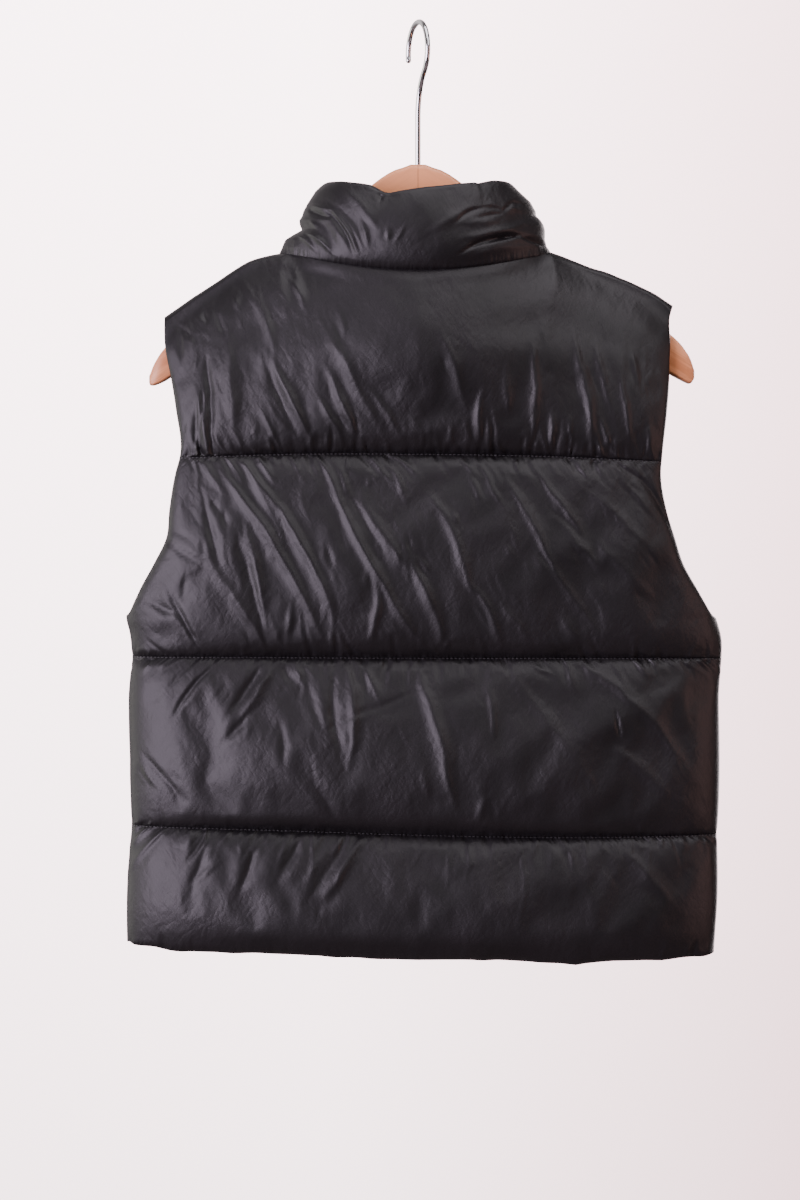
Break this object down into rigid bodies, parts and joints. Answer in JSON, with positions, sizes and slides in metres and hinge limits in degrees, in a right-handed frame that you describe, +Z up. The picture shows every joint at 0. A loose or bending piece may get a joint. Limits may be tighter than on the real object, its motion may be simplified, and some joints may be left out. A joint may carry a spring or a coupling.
{
  "type": "puffer vest on a wooden hanger",
  "caption": "Child's quilted puffer vest with a stand collar and a closed front zip, hung on a curved wooden hanger with a wire hook.",
  "frame": {"origin": "inside top of the hook's crown, where a rail carries the hanger", "axes": "+Z up; +X to the wearer's right; -Y out of the vest's back; +Y out of its zipped front"},
  "size_m": [0.3796, 0.0816, 0.6002],
  "materials": {
    "shell_nylon": "glossy woven nylon over soft fill",
    "zip_tape": "matt woven tape",
    "zip_teeth": "moulded teeth",
    "zip_metal": "black enamelled",
    "hanger_wood": "clear varnish",
    "hook_steel": "polished wire"
  },
  "bodies": {
    "garment": {"back": "shell_nylon", "front_right": "shell_nylon", "front_left": "shell_nylon", "collar": "shell_nylon", "zip_tape_right": "zip_tape", "zip_tape_left": "zip_tape", "zip_chain": "zip_teeth", "zip_slider": "zip_metal", "hanger_arms": "hanger_wood", "hanger_hook": "hook_steel"},
    "pull_tab": {"zip_pull_tab": "zip_metal"}
  },
  "joints": [
    {"name": "pull_tab_swing", "type": "hinge", "parent": "garment", "child": "pull_tab", "pos_m": [0, 0.0341, -0.1511], "axis": [1, 0, 0], "range_deg": [0, 120]}
  ]
}
